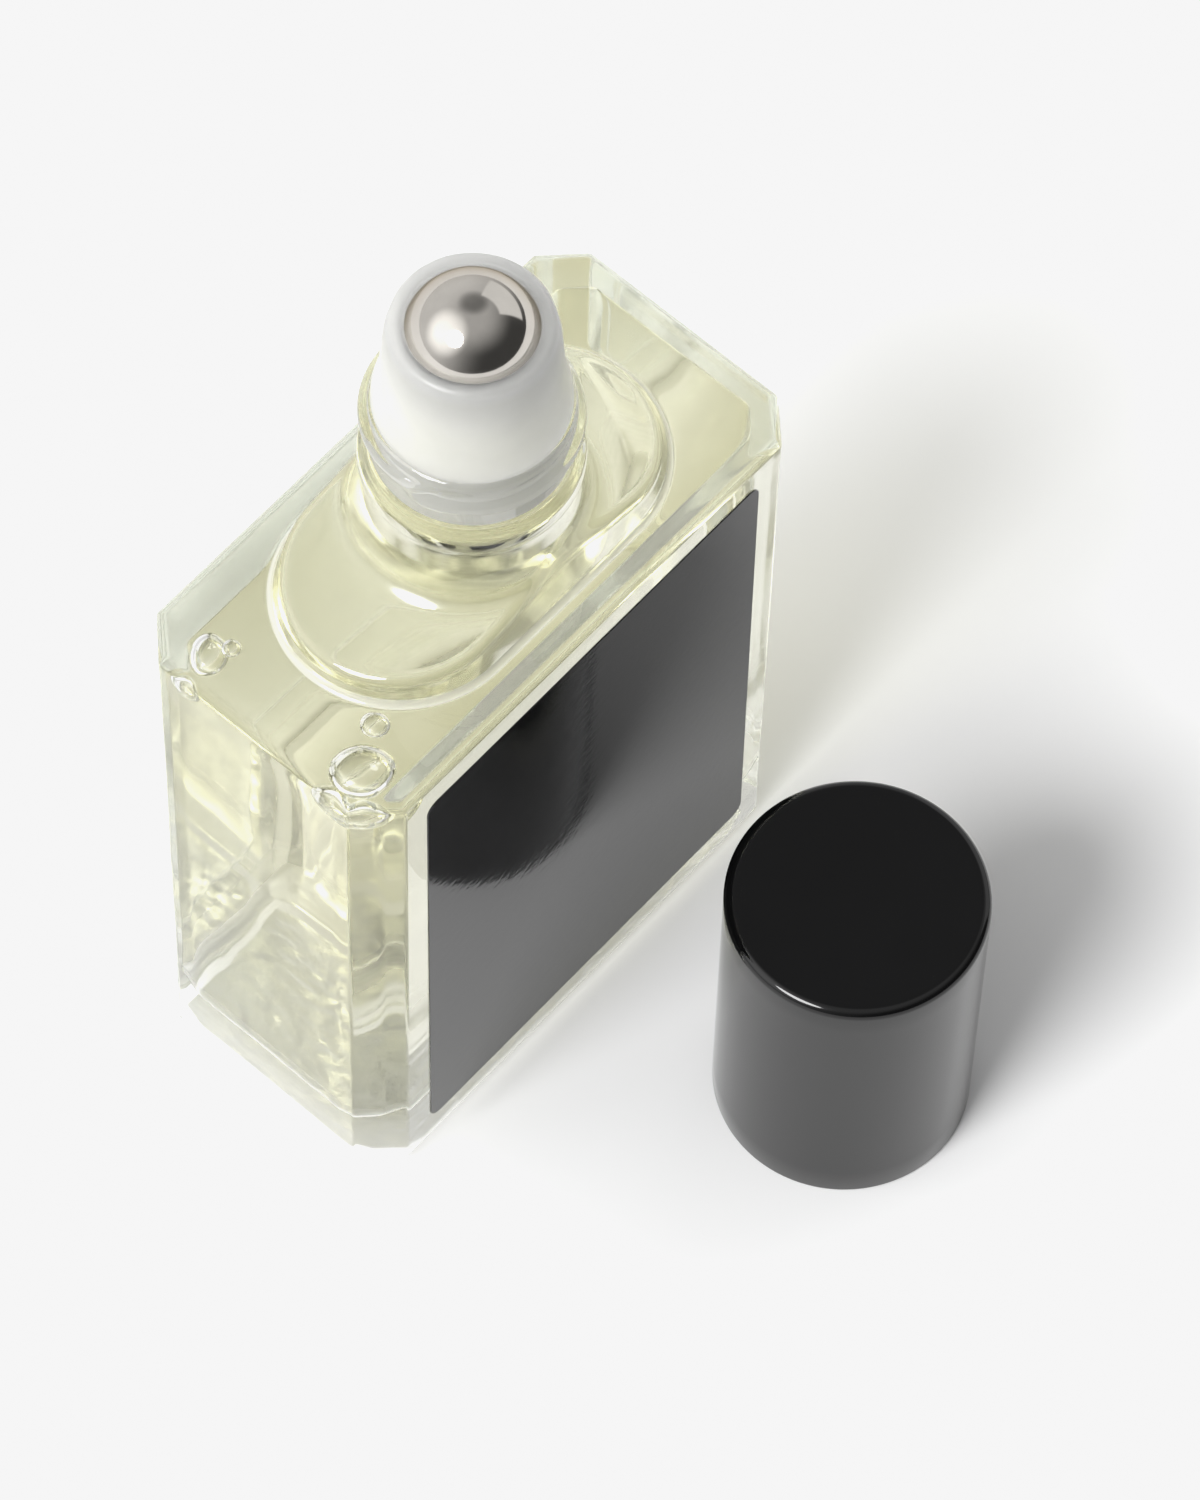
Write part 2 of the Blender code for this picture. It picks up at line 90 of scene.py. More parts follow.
# Neck
NECK_RADIUS = 0.0071
NECK_FILLET = 0.0032
NECK_TANGENT_RISE = 0.0063
TANGENT_Z = BODY_HEIGHT + NECK_TANGENT_RISE
BEAD_RADIUS = 0.0074
BEAD_RISE = 0.0089
BEAD_HEIGHT = 0.0015
BEAD_FULLNESS = 0.7
BEAD_Z = BODY_HEIGHT + BEAD_RISE
BEAD_EASE_GAP = 0.00015
BEAD_EASE_HEIGHT = 0.0005
FINISH_RADIUS = 0.0067
RIM_RADIUS = 0.0006
BORE_RADIUS = 0.0051
BORE_LEAD = 0.0004
BORE_FLARE_HEIGHT = 0.0060
BORE_FLARE_SHARE = 0.8
THREAD_RADIUS = 0.0073
THREAD_PITCH = 0.0011
THREAD_WIDTH = 0.0021
THREAD_TURNS = 1.06
THREAD_RUNOUT_TURNS = 0.05
THREAD_SHARPNESS = 1.4
THREAD_START_Z = 0.0658
THREAD_START_ANGLE = math.radians(180)

# Waviness of pressed glass: how deep it is, and its sizes across and up with the seed of its noise
WALL_RIPPLE_DEPTH = 0.00004
END_RIPPLE_DEPTH = 0.00009
WALL_RIPPLE = (0.0060, 0.0110, 1)
WALL_RIPPLE_FADE = 0.003
END_WIDTH = 0.002
END_FADE = 0.0015
LOW_RIPPLE_DEPTH = 0.00004
LOW_RIPPLE = (0.0018, 0.0040, 4)
LOW_RIPPLE_TOP = 0.034
LOW_RIPPLE_FADE = 0.012
CAVITY_RIPPLE_DEPTH = 0.00018
CAVITY_RIPPLE = (0.0080, 0.0180, 2)
CAVITY_RIPPLE_FADE = 0.004
FLARE_RIPPLE_DEPTH = 0.0003
FLARE_RIPPLE = (0.0025, 0.0070, 3)
FLOOR_RIPPLE_DEPTH = 0.00035
FLOOR_RIPPLE = (0.0030, 0.0030, 5)
NOISE_SHIFT = Vector((7.31, 3.17, 5.71))

# Oil and its air bubbles, as places and radii
OIL_GAP = 0.00003
OIL_LEVEL_Z = 0.0611
MENISCUS_DEPTH = 0.00025
MENISCUS_POWER = 6
BUBBLE_SKIN = 0.00010
BUBBLE_FLATNESS = 0.62
BUBBLE_SOFTNESS = 4
BUBBLE_REACH = 3
WALL_HALVINGS = 20
BUBBLE_CORNER_RADIUS = 0.0029
BUBBLES = [
    ((-0.01775, -0.00665, 0.0489), 0.0024),
    ((-0.0180, 0.0071, 0.0490), 0.0017),
    ((-0.01446, -0.00469, 0.0493), 0.00100),
    ((-0.01656, 0.0059, 0.0495), 0.00066),
]

# Roller fitment, with the heights of its side above its flange and those of its top below the lip
PLUG_RADIUS = 0.00485
PLUG_INNER_RADIUS = 0.00395
PLUG_LEAD = 0.0003
PLUG_LEAD_HEIGHT = 0.0006
RIB_FEET_Z = (0.064, 0.066)
RIB_RISE = 0.0002
RIB_WIDTH = 0.0008
FLANGE_GAP = 0.00012
SIDE_RADII_AND_HEIGHTS = [
    (0.00630, 0.0),
    (0.00642, 0.00004),
    (0.00648, 0.00015),
    (0.00646, 0.0006),
    (0.00633, 0.0012),
    (0.00616, 0.0020),
    (0.00600, 0.0030),
    (0.00586, 0.0043),
    (0.00576, 0.0056),
]
TOP_RADII_AND_DROPS = [(0.00565, 0.0018), (0.00552, 0.0011)]
LIP_CREST_RADIUS = 0.00485
LIP_ROUND_ACROSS = 0.00055
LIP_ROUND_DOWN = 0.0006
LIP_INNER_ROUND = 0.00024
GRIP_RISE = 0.00142
BALL_GAP = 0.00002
FEED_RADIUS = 0.0022
CAGE_FLOOR = 0.0017

# Label, a film whose back lies just inside the glass's face
LABEL_WIDTH = 0.0324
LABEL_HEIGHT = 0.0455
LABEL_CORNER_RADIUS = 0.0010
LABEL_TILT = math.radians(0.4)
LABEL_SUNK = 0.00002
LABEL_PROUD = 0.00009
LABEL_EDGE = 0.00002
LABEL_EDGE_SHARES = (0.999, 0.99)

# Cap
CAP_WALL = 0.0006
CAP_TOP = 0.0008
CAP_EDGE_RADIUS = 0.00065
CAP_MOUTH_RADIUS = 0.0002
CAP_DISH = 0.00002

# Rings of the fine meshes, as shares of the way across or up the stretch that they are named for
BASE_SHARES = (0.06, 0.2, 0.35, 0.5, 0.62, 0.7, 0.76, 0.81, 0.86, 0.9, 0.94, 0.97)
SHELF_SHARES = (0.1, 0.3, 0.5, 0.7, 0.9)
BEAD_EASE_SHARES = (0.25, 0.5, 0.75, 1.0)
RIM_SHARES = (0.5, 1.0)
CEILING_SHARES = (0.25, 0.5, 0.75)
FLOOR_SHARES = (0.95, 0.88, 0.78, 0.66, 0.52, 0.38, 0.24, 0.1)
OIL_SURFACE_SHARES = (0.92, 0.8, 0.5, 0.1)
CAP_SIDE_SHARES = (0.1, 0.3, 0.5, 0.7, 0.9)
CAP_TOP_SHARES = (0.97, 0.8, 0.5, 0.2)

# Facets of the fine meshes
CORNER_STEPS = 6
LONG_STEPS = 60
SHORT_STEPS = 30
CUT_STEPS = 6
HEEL_STEPS = 8
WALL_STEPS = 63
TOP_STEPS = 7
FOOT_STEPS = 5
RISE_STEPS = 6
CREST_STEPS = 6
SLOPE_STEPS = 25
WAIST_STEPS = 5
BEAD_STEPS = 8
FINISH_STEPS = 43
RIM_STEPS = 8
LEAD_STEPS = 5
BORE_STEPS = 7
WET_BORE_STEPS = 5
FLARE_STEPS = 14
CEILING_STEPS = 8
CAVITY_STEPS = 55
FLOOR_STEPS = 9
BUBBLE_ROWS = 24
BUBBLE_SEGMENTS = 40
BALL_ROWS = 71
BALL_SEGMENTS = 128
RIB_STEPS = 6
LIP_STEPS = 9
LIP_INNER_STEPS = 5
CAGE_STEPS = 29
FITMENT_SEGMENTS = 160
LABEL_CORNER_STEPS = 8
CAP_MOUTH_STEPS = 4
CAP_EDGE_STEPS = 8
CAP_SEGMENTS = 200
SHARP_ANGLE = math.radians(35)

# Marks on the glass's faces: shares of the full effect, and counts of rings to where each ends or fades
INSIDE_SOFT_SHARE = 0.35
NECK_FOOT_SOFT_SHARE = 0.5
LOW_WALL_SOFT_SHARE = 0.2
# Painted highlight: the share of dull white along the shoulder's foot, standing in for its white line of
# light
FOOT_WHITE_LINE_SHARE = 0.5
HEEL_DULL_WHITE_SHARE = 0.4
ROUGH_HEEL_RINGS = (5, 6)
SOFT_WALL_RINGS = (35, 30)
DULL_WHITE_HEEL_RINGS = (9, 6)
CLEAR_FOOT_RINGS = 2
SOFT_CREST_RINGS = 4
SOFT_BEFORE_NECK_RINGS = 12
SOFT_NECK_RINGS = 9

# Studio: directions as azimuth and elevation in degrees, and strengths of light
FLOOR_REACH = 3.0
KEY_DIRECTION = (178, 47)
KEY_SPREAD = math.radians(25)
KEY_STRENGTH = 2.64
WALLS_DIRECTION = (100, 5)
WALLS_REACH = 0.75
WALLS_DARK = 0.07
WALLS_PALE = 0.85
CEILING_START_DEG = 25
CEILING_FULL_DEG = 75
CEILING_LIGHT = 0.58
SHADE_DIRECTION = (40, 62)
SHADE_START = 0.90
SHADE_FULL = 0.99
SHADE_DEPTH = 0.35
PANEL_LEFT_DEG = (-31, -27)
PANEL_RIGHT_DEG = (24, 28)
PANEL_FOOT_DEG = (5, 8)
PANEL_TOP_DEG = (44, 49)
PANEL_LIGHT = 0.95
GLOW_DIRECTION = (152, 42)
GLOW_START = 0.75

# Camera, fitted to the photograph, with its view's white and its count of bounces
CAMERA_AZIMUTH = math.radians(50.28)
CAMERA_ELEVATION = math.radians(61.56)
CAMERA_ROLL = math.radians(2.07)
CAMERA_DISTANCE = 0.57933
CAMERA_AIM = Vector((0, 0, 0.020))
CAMERA_AIM_RIGHT = 0.00889
CAMERA_AIM_UP = 0.00092
SENSOR_WIDTH_MM = 36.0
FOCAL_PIXELS = 8487.4
PHOTO_HEIGHT_PIXELS = 1500
CLIP_START = 0.01
WHITE_LEVEL = 0.92
COMBINED_CURVE = 3
BOUNCES = 24
CLEAR_BOUNCES = 32

# Shaders: how surfaces drift, the tint of light that passes straight through and the Mix node's sockets
DRIFT_START = 0.3
DRIFT_END = 0.7
ROUGHNESS_DRIFT = 0.15
ROUGHNESS_GRAIN = 1.7
LET_THROUGH = (0.90, 0.90, 0.895, 1.0)
WHITE = (1.0, 1.0, 1.0, 1.0)
MIX_FIRST = 6
MIX_SECOND = 7
MIX_RESULT = 2


# Shapes


def octagon(half_x, half_y, cut, radius):
    """An eight-sided plan with rounded corners. Equal point numbers line up on all of them."""
    x = half_x - radius
    y = half_y - radius
    c = cut - radius * (2 - math.sqrt(2))
    right = [(x, c - y), (x, y - c), (x - c, y)]
    left = [(c - x, y), (-x, y - c), (-x, c - y)]
    front = [(c - x, -y), (x - c, -y)]
    arcs = []
    for index, centre in enumerate(right + left + front):
        angles = EIGHTH * (index - 1 + np.linspace(0, 1, CORNER_STEPS + 1))
        arcs.append(np.array(centre) + radius * np.column_stack((np.cos(angles), np.sin(angles))))
    outline = []
    for index, steps in enumerate([SHORT_STEPS, CUT_STEPS, LONG_STEPS, CUT_STEPS] * 2):
        outline.append(arcs[index])
        outline.append(side_points(arcs[index][-1], arcs[(index + 1) % 8][0], steps))
    return np.concatenate(outline)


def side_points(start, end, steps):
    """Points along a side where rays from the centre, an even angle apart, cross it."""
    first = math.atan2(start[1], start[0])
    turn = (math.atan2(end[1], end[0]) - first) % FULL_TURN
    angles = first + turn * np.arange(1, steps) / steps
    rays = np.column_stack((np.cos(angles), np.sin(angles)))
    back = start - end
    share = (start[0] * rays[:, 1] - start[1] * rays[:, 0]) / (back[0] * rays[:, 1] - back[1] * rays[:, 0])
    return start - back * share[:, None]


def body_outline(inset):
    cut = CORNER_CUT - inset * (2 - math.sqrt(2))
    return octagon(BODY_LENGTH / 2 - inset, BODY_DEPTH / 2 - inset, cut, EDGE_RADIUS)


def cavity_outline(inset):
    half_x = BODY_LENGTH / 2 - END_WALL - inset
    half_y = BODY_DEPTH / 2 - SIDE_WALL - inset
    return octagon(half_x, half_y, CAVITY_CORNER_CUT - inset * (2 - math.sqrt(2)), CAVITY_EDGE_RADIUS)


RING_ANGLES = np.arctan2(body_outline(0.0)[:, 1], body_outline(0.0)[:, 0])


def at_ring_angles(radius):
    """Points on the body's own ring angles, all at one radius or each at its own."""
    return np.column_stack((radius * np.cos(RING_ANGLES), radius * np.sin(RING_ANGLES)))


def racetrack(half_length, half_width):
    """A racetrack outline with points on the body's own ring angles. Equal halves give a circle."""
    offset = half_length - half_width
    across = np.abs(np.sin(RING_ANGLES))
    along = np.abs(np.cos(RING_ANGLES))
    straight = half_width * along < offset * across
    reach = offset * along + np.sqrt(np.maximum(half_width ** 2 - (offset * across) ** 2, 0))
    reach = np.where(straight, half_width / np.maximum(across, TINY), reach)
    return at_ring_angles(reach)


def at_height(outline, z):
    return np.column_stack((outline, np.broadcast_to(z, len(outline))))


def circle(radius, z):
    return at_height(racetrack(radius, radius), z)


def smooth_noise(points, size_across, size_up, seed):
    """Noise between about -1 and 1 that changes over the given distances."""
    shift = NOISE_SHIFT * seed
    grow = Vector((1 / size_across, 1 / size_across, 1 / size_up))
    return np.array([noise.noise(Vector(point) * grow + shift) for point in points])


def rippled(ring, depth, size_across, size_up, seed):
    """Moves a ring's points inward by up to depth, as the wavy faces of pressed glass."""
    along = np.roll(ring, -1, axis=0) - np.roll(ring, 1, axis=0)
    outward = np.column_stack((along[:, 1], -along[:, 0], np.zeros(len(ring))))
    outward /= np.linalg.norm(outward, axis=1)[:, None]
    share = 0.5 + 0.5 * np.clip(smooth_noise(ring, size_across, size_up, seed), -1, 1)
    return ring - outward * (depth * share)[:, None]


def eased(share):
    """A share held between 0 and 1 that starts and ends gently."""
    share = np.clip(share, 0, 1)
    return share * share * (3 - 2 * share)


def quarter(steps, start=0):
    return [QUARTER * step / steps for step in range(start, steps + 1)]


def steps_between(start, end, steps):
    """Evenly spaced values between two ends, without the ends."""
    return np.linspace(start, end, steps + 1)[1:-1]


def steps_after(start, end, steps):
    """Evenly spaced values after a start, up to the end."""
    return np.linspace(start, end, steps + 1)[1:]


def blend_rings(inner, outer, shares):
    return [inner + (outer - inner) * share for share in shares]


def base_rings():
    """Underside, from its middle out: a shallow push-up inside the ring that it stands on."""
    rim = body_outline(HEEL_RADIUS)
    rings = []
    for share in BASE_SHARES:
        slope = eased((share - PUSH_UP_FLAT_SHARE) / PUSH_UP_SLOPE_SHARE)
        rings.append(at_height(rim * share, PUSH_UP * (1 - slope)))
    return rings


def wall_rings():
    """Rounded heel, wavy wall and rounded top edge of the octagonal body."""
    rings = []
    for a in quarter(HEEL_STEPS):
        outline = body_outline(HEEL_RADIUS * (1 - math.sin(a)))
        rings.append(at_height(outline, HEEL_RADIUS * (1 - math.cos(a))))
    top = BODY_HEIGHT - TOP_RADIUS
    for z in steps_between(HEEL_RADIUS, top, WALL_STEPS):
        fade = min(1, (z - HEEL_RADIUS) / WALL_RIPPLE_FADE, (top - z) / WALL_RIPPLE_FADE)
        ring = at_height(body_outline(0.0), z)
        ends = np.clip((np.abs(ring[:, 0]) - BODY_LENGTH / 2 + END_WIDTH) / END_FADE, 0, 1)
        low = np.clip((LOW_RIPPLE_TOP - z) / LOW_RIPPLE_FADE, 0, 1)
        ring = rippled(ring, (WALL_RIPPLE_DEPTH + END_RIPPLE_DEPTH * ends) * fade, *WALL_RIPPLE)
        rings.append(rippled(ring, LOW_RIPPLE_DEPTH * ends * low * fade, *LOW_RIPPLE))
    for a in quarter(TOP_STEPS):
        outline = body_outline(TOP_RADIUS * (1 - math.cos(a)))
        rings.append(at_height(outline, top + TOP_RADIUS * math.sin(a)))
    return rings


def shoulder_z(outline):
    """Height of the shoulder's surface: a fillet round the neck that runs into a gentle slope."""
    reach = np.hypot(outline[:, 0], outline[:, 1])
    centre = NECK_RADIUS + NECK_FILLET
    end = centre - NECK_FILLET * math.sin(SHOULDER_SLOPE)
    end_z = TANGENT_Z - NECK_FILLET * math.cos(SHOULDER_SLOPE)
    fillet = TANGENT_Z - np.sqrt(np.maximum(NECK_FILLET ** 2 - (centre - reach) ** 2, 0))
    return np.where(reach < end, fillet, end_z - (reach - end) * math.tan(SHOULDER_SLOPE))


def shoulder_rings():
    """Flat top of the body, then the raised racetrack: its foot, wall, crest and slope up to the neck."""
    half_length = SHOULDER_LENGTH / 2
    half_width = SHOULDER_WIDTH / 2
    foot = SHOULDER_FOOT_RADIUS
    crest = SHOULDER_CREST_RADIUS
    edge = at_height(body_outline(TOP_RADIUS), BODY_HEIGHT)
    start = at_height(racetrack(half_length + foot, half_width + foot), BODY_HEIGHT)
    rings = blend_rings(edge, start, SHELF_SHARES)
    for a in quarter(FOOT_STEPS):
        out = foot * (1 - math.sin(a))
        outline = racetrack(half_length + out, half_width + out)
        rings.append(at_height(outline, BODY_HEIGHT + foot * (1 - math.cos(a))))
    top_length = half_length - SHOULDER_DRAFT
    top_width = half_width - SHOULDER_DRAFT
    lip = racetrack(top_length, top_width)
    wall_top = at_height(lip, shoulder_z(lip) - crest)
    rings += blend_rings(rings[-1], wall_top, steps_between(0, 1, RISE_STEPS))
    for a in quarter(CREST_STEPS):
        back = crest * (1 - math.cos(a))
        outline = racetrack(top_length - back, top_width - back)
        rings.append(at_height(outline, shoulder_z(outline) - crest * (1 - math.sin(a))))
    crest_outline = racetrack(top_length - crest, top_width - crest)
    neck = racetrack(NECK_RADIUS, NECK_RADIUS)
    for share in np.sin(steps_between(0, QUARTER, SLOPE_STEPS)):
        outline = crest_outline + (neck - crest_outline) * share
        rings.append(at_height(outline, shoulder_z(outline)))
    rings.append(circle(NECK_RADIUS, TANGENT_Z))
    return rings


def thread_swell(z, angle):
    """How far the thread stands out of the neck at a height and an angle round it."""
    swell = np.zeros_like(angle)
    for turn in range(math.ceil(THREAD_TURNS) + 1):
        along = ((angle - THREAD_START_ANGLE) % FULL_TURN + FULL_TURN * turn) / FULL_TURN
        runout = eased(np.minimum(along, THREAD_TURNS - along) / THREAD_RUNOUT_TURNS)
        offset = (z - (THREAD_START_Z + THREAD_PITCH * along)) / (THREAD_WIDTH / 2)
        ridge = np.cos(np.clip(offset, -1, 1) * QUARTER).clip(0) ** THREAD_SHARPNESS
        swell = np.maximum(swell, runout * ridge)
    return swell * (THREAD_RADIUS - FINISH_RADIUS)


def neck_rings():
    """Neck from the shoulder to the rim: waist, bead, threaded finish and rounded rim."""
    bead_round = BEAD_RADIUS - NECK_RADIUS
    bead_middle_z = BEAD_Z + BEAD_HEIGHT / 2
    rings = [circle(NECK_RADIUS, z) for z in steps_after(TANGENT_Z, BEAD_Z - bead_round, WAIST_STEPS)]
    for a in steps_after(0, math.pi, BEAD_STEPS):
        z = bead_middle_z - (BEAD_HEIGHT / 2 + bead_round / 2) * math.cos(a)
        rings.append(circle(NECK_RADIUS + bead_round * math.sin(a) ** BEAD_FULLNESS, z))
    ease_z = BEAD_Z + BEAD_HEIGHT + BEAD_EASE_GAP
    for share in BEAD_EASE_SHARES:
        radius = NECK_RADIUS + (FINISH_RADIUS - NECK_RADIUS) * eased(share)
        rings.append(circle(radius, ease_z + BEAD_EASE_HEIGHT * share))
    finish_angle = RING_ANGLES % FULL_TURN
    for z in steps_after(ease_z + BEAD_EASE_HEIGHT, RIM_Z - RIM_RADIUS, FINISH_STEPS):
        rings.append(at_height(at_ring_angles(FINISH_RADIUS + thread_swell(z, finish_angle)), z))
    for a in quarter(RIM_STEPS, 1):
        radius = FINISH_RADIUS - RIM_RADIUS * (1 - math.cos(a))
        rings.append(circle(radius, RIM_Z - RIM_RADIUS * (1 - math.sin(a))))
    return rings


def bore_rings():
    """Flat of the rim, the bore's rounded lead and the bore down to its flare."""
    outer = FINISH_RADIUS - RIM_RADIUS
    inner = BORE_RADIUS + BORE_LEAD
    rings = [circle(outer - share * (outer - inner), RIM_Z) for share in RIM_SHARES]
    for a in quarter(LEAD_STEPS, 1):
        radius = BORE_RADIUS + BORE_LEAD * (1 - math.sin(a))
        rings.append(circle(radius, RIM_Z - BORE_LEAD * (1 - math.cos(a))))
    rings += [circle(BORE_RADIUS, z) for z in steps_after(RIM_Z - BORE_LEAD, OIL_LEVEL_Z, BORE_STEPS)]
    flare_z = CEILING_Z + BORE_FLARE_HEIGHT
    rings += [circle(BORE_RADIUS, z) for z in steps_after(OIL_LEVEL_Z, flare_z, WET_BORE_STEPS)]
    return rings


def cavity_rings(gap):
    """Inside of the body from the foot of the bore to the middle of the floor, moved in by gap."""
    top = CAVITY_TOP_RADIUS
    floor = CAVITY_FLOOR_RADIUS
    ceiling = CEILING_Z - gap
    floor_z = BASE_THICKNESS + gap
    flare = (BODY_DEPTH / 2 - SIDE_WALL - top - BORE_RADIUS) * BORE_FLARE_SHARE
    rings = []
    for a in quarter(FLARE_STEPS, 1):
        radius = BORE_RADIUS - gap + flare * (1 - math.cos(a))
        ring = circle(radius, ceiling + BORE_FLARE_HEIGHT * (1 - math.sin(a)))
        rings.append(rippled(ring, FLARE_RIPPLE_DEPTH * math.sin(2 * (QUARTER - a)), *FLARE_RIPPLE))
    edge = at_height(cavity_outline(gap + top), ceiling)
    rings += blend_rings(rings[-1], edge, CEILING_SHARES)
    for a in quarter(CEILING_STEPS):
        outline = cavity_outline(gap + top * (1 - math.sin(a)))
        rings.append(at_height(outline, ceiling - top * (1 - math.cos(a))))
    wall_top = ceiling - top
    wall_foot = floor_z + floor
    for z in steps_between(wall_top, wall_foot, CAVITY_STEPS):
        fade = min(1, (wall_top - z) / CAVITY_RIPPLE_FADE, (z - wall_foot) / CAVITY_RIPPLE_FADE)
        ring = at_height(cavity_outline(gap), z)
        rings.append(rippled(ring, CAVITY_RIPPLE_DEPTH * fade, *CAVITY_RIPPLE))
    for a in quarter(FLOOR_STEPS):
        outline = cavity_outline(gap + floor * (1 - math.cos(a)))
        ring = at_height(outline, floor_z + floor * (1 - math.sin(a)))
        rings.append(rippled(ring, FLOOR_RIPPLE_DEPTH * math.sin(2 * a), *FLOOR_RIPPLE))
    rim = cavity_outline(gap + floor)
    rings += [at_height(rim * share, floor_z - FLOOR_DISH * (1 - share)) for share in FLOOR_SHARES]
    return rings


# Meshes


def bands(rings, closed):
    """Faces between neighbouring rings, and between the last and the first where the rings close."""
    count = len(rings[0])
    around = np.arange(count)
    after = (around + 1) % count
    faces = []
    for index in range(len(rings) if closed else len(rings) - 1):
        low = index * count
        high = (index + 1) % len(rings) * count
        faces += np.column_stack((low + around, low + after, high + after, high + around)).tolist()
    return faces


def skin(rings):
    """Points and faces of the closed skin over rings of equally many points."""
    around = np.arange(len(rings[0]))
    last = (len(rings) - 1) * len(rings[0])
    faces = [around[::-1].tolist()] + bands(rings, closed=False) + [(last + around).tolist()]
    return np.concatenate(rings), faces


def on_faces(rings, value):
    """A value for each face of a skin, chosen by the later of its two rings."""
    values = [value(0)]
    for index in range(1, len(rings)):
        values += [value(index)] * len(rings[0])
    return values + [value(len(rings) - 1)]


def mark_faces(piece, name, values):
    """Stores a share between 0 and 1 on each face."""
    shares = [float(value) for value in values]
    piece.data.attributes.new(name, "FLOAT", "FACE").data.foreach_set("value", shares)


def mesh_object(name, points, faces):
    mesh = bpy.data.meshes.new(name)
    mesh.from_pydata(np.asarray(points).tolist(), [], faces)
    mesh.shade_smooth()
    mesh.update()
    piece = bpy.data.objects.new(name, mesh)
    bpy.context.collection.objects.link(piece)
    return piece


def turned(name, profile, segments, closed):
    """Turns (radius, height) points about Z. A closed profile runs back to its first point."""
    angles = FULL_TURN * np.arange(segments) / segments
    rings = []
    for radius, z in profile:
        heights = np.full(segments, z)
        rings.append(np.column_stack((radius * np.cos(angles), radius * np.sin(angles), heights)))
    if closed:
        return mesh_object(name, np.concatenate(rings), bands(rings, closed=True))
    return mesh_object(name, *skin(rings))


# Materials


def new_material(name):
    material = bpy.data.materials.new(name)
    material.use_nodes = True
    return material


def shader(material):
    """The sockets of a material's shader."""
    return material.node_tree.nodes["Principled BSDF"].inputs


def feed(links, socket, value):
    """Links a socket to another node's output, or sets it to a plain value."""
    if isinstance(value, bpy.types.NodeSocket):
        links.new(value, socket)
    else:
        socket.default_value = value


def object_noise(material, scale, detail=2.0):
    nodes = material.node_tree.nodes
    place = nodes.new("ShaderNodeTexCoord")
    texture = nodes.new("ShaderNodeTexNoise")
    texture.inputs["Scale"].default_value = scale
    texture.inputs["Detail"].default_value = detail
    material.node_tree.links.new(place.outputs["Object"], texture.inputs["Vector"])
    return texture.outputs["Fac"]


def along_axis(material, axis, start, end):
    """A share that grows from 0 to 1 between two places on an axis of the model."""
    nodes = material.node_tree.nodes
    links = material.node_tree.links
    place = nodes.new("ShaderNodeTexCoord")
    parts = nodes.new("ShaderNodeSeparateXYZ")
    links.new(place.outputs["Object"], parts.inputs[0])
    share = nodes.new("ShaderNodeMapRange")
    links.new(parts.outputs[axis], share.inputs["Value"])
    share.inputs["From Min"].default_value = start
    share.inputs["From Max"].default_value = end
    return share.outputs["Result"]


def face_mark(material, name):
    """The share that a piece stores on its faces under a name."""
    mark = material.node_tree.nodes.new("ShaderNodeAttribute")
    mark.attribute_name = name
    return mark.outputs["Fac"]


def by_mark(material, socket, name, plain, marked):
    """Sets a shader's number to one value on plain faces and to another where the mark is 1."""
    links = material.node_tree.links
    value = material.node_tree.nodes.new("ShaderNodeMapRange")
    links.new(face_mark(material, name), value.inputs["Value"])
    value.inputs["To Min"].default_value = plain
    value.inputs["To Max"].default_value = marked
    shader(material)[socket].default_value = plain
    links.new(value.outputs["Result"], shader(material)[socket])


def color_bands(material, share, stops):
    """Colours at rising places between 0 and 1 that run into each other."""
    node = material.node_tree.nodes.new("ShaderNodeValToRGB")
    material.node_tree.links.new(share, node.inputs["Fac"])
    elements = node.color_ramp.elements
    first, *middle, last = stops
    for element, (place, color) in ((elements[0], first), (elements[1], last)):
        element.position = place
        element.color = (*color, 1.0)
    for place, color in middle:
        elements.new(place).color = (*color, 1.0)
    return node.outputs["Color"]


def mixed_color(material, kind, factor, first, second):
    """Two colours brought together. Each of them, and the factor, is a socket or a plain value."""
    node = material.node_tree.nodes.new("ShaderNodeMix")
    node.data_type = "RGBA"
    node.blend_type = kind
    feed(material.node_tree.links, node.inputs["Factor"], factor)
    feed(material.node_tree.links, node.inputs[MIX_FIRST], first)
    feed(material.node_tree.links, node.inputs[MIX_SECOND], second)
    return node.outputs[MIX_RESULT]


def bump(material, height, strength, distance):
    node = material.node_tree.nodes.new("ShaderNodeBump")
    node.inputs["Strength"].default_value = strength
    node.inputs["Distance"].default_value = distance
    material.node_tree.links.new(height, node.inputs["Height"])
    material.node_tree.links.new(node.outputs["Normal"], shader(material)["Normal"])
    return node


def tint_inside(material, color, density):
    nodes = material.node_tree.nodes
    absorb = nodes.new("ShaderNodeVolumeAbsorption")
    absorb.inputs["Color"].default_value = (*color, 1.0)
    absorb.inputs["Density"].default_value = density
    material.node_tree.links.new(absorb.outputs["Volume"], nodes["Material Output"].inputs["Volume"])


def let_light_through(material):
    """Rays from lamps and from dull surfaces pass straight through, so that what is behind is lit."""
    nodes = material.node_tree.nodes
    links = material.node_tree.links
    path = nodes.new("ShaderNodeLightPath")
    either = nodes.new("ShaderNodeMath")
    either.operation = "MAXIMUM"
    links.new(path.outputs["Is Shadow Ray"], either.inputs[0])
    links.new(path.outputs["Is Diffuse Ray"], either.inputs[1])
    clear = nodes.new("ShaderNodeBsdfTransparent")
    clear.inputs["Color"].default_value = LET_THROUGH
    mix = nodes.new("ShaderNodeMixShader")
    links.new(either.outputs[0], mix.inputs["Fac"])
    links.new(nodes["Principled BSDF"].outputs["BSDF"], mix.inputs[1])
    links.new(clear.outputs["BSDF"], mix.inputs[2])
    links.new(mix.outputs["Shader"], nodes["Material Output"].inputs["Surface"])
    return clear


